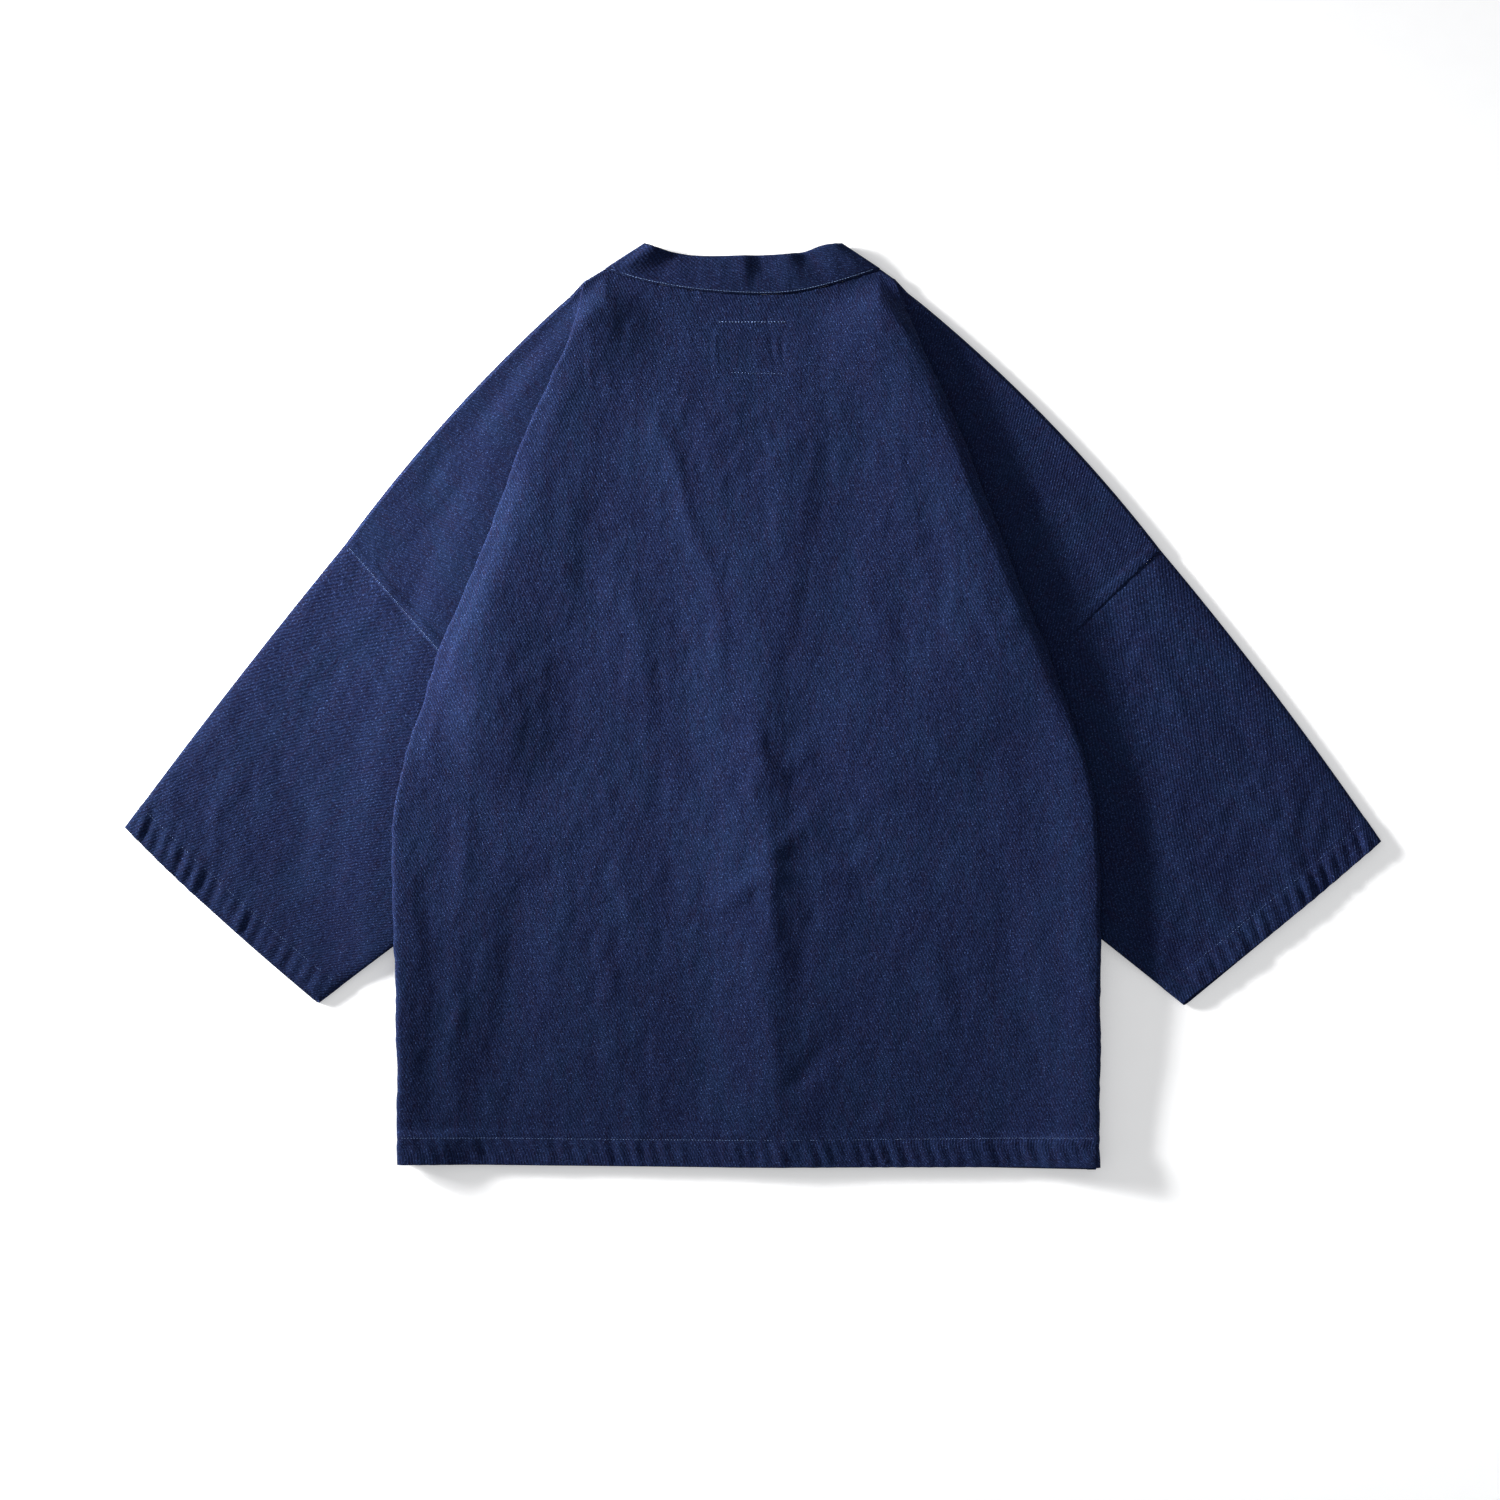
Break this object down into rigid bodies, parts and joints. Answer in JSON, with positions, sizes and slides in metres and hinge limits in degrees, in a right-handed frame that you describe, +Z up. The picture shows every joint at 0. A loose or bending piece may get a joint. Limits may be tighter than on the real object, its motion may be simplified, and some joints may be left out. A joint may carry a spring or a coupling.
{
  "type": "haori jacket laid flat",
  "caption": "Indigo twill haori-style jacket laid flat with its back up: band collar, dropped shoulders, wide sleeves turned down, the body folded over them.",
  "frame": {"origin": "on the surface under the middle of the laid jacket's box", "axes": "+Z up out of the cloth, +Y toward the collar, +X toward the jacket's right sleeve as its back is seen"},
  "size_m": [1.0814, 0.7968, 0.0213],
  "materials": {
    "twill_back": "matt indigo cotton twill",
    "twill_front": "matt indigo cotton twill",
    "twill_sleeve": "matt indigo cotton twill",
    "twill_collar": "matt indigo cotton twill, double",
    "thread": "light blue sewing thread"
  },
  "bodies": {
    "root": {"back": "twill_back", "front_left": "twill_front", "front_right": "twill_front", "sleeve_left": "twill_sleeve", "sleeve_right": "twill_sleeve", "collar": "twill_collar"}
  },
  "joints": []
}
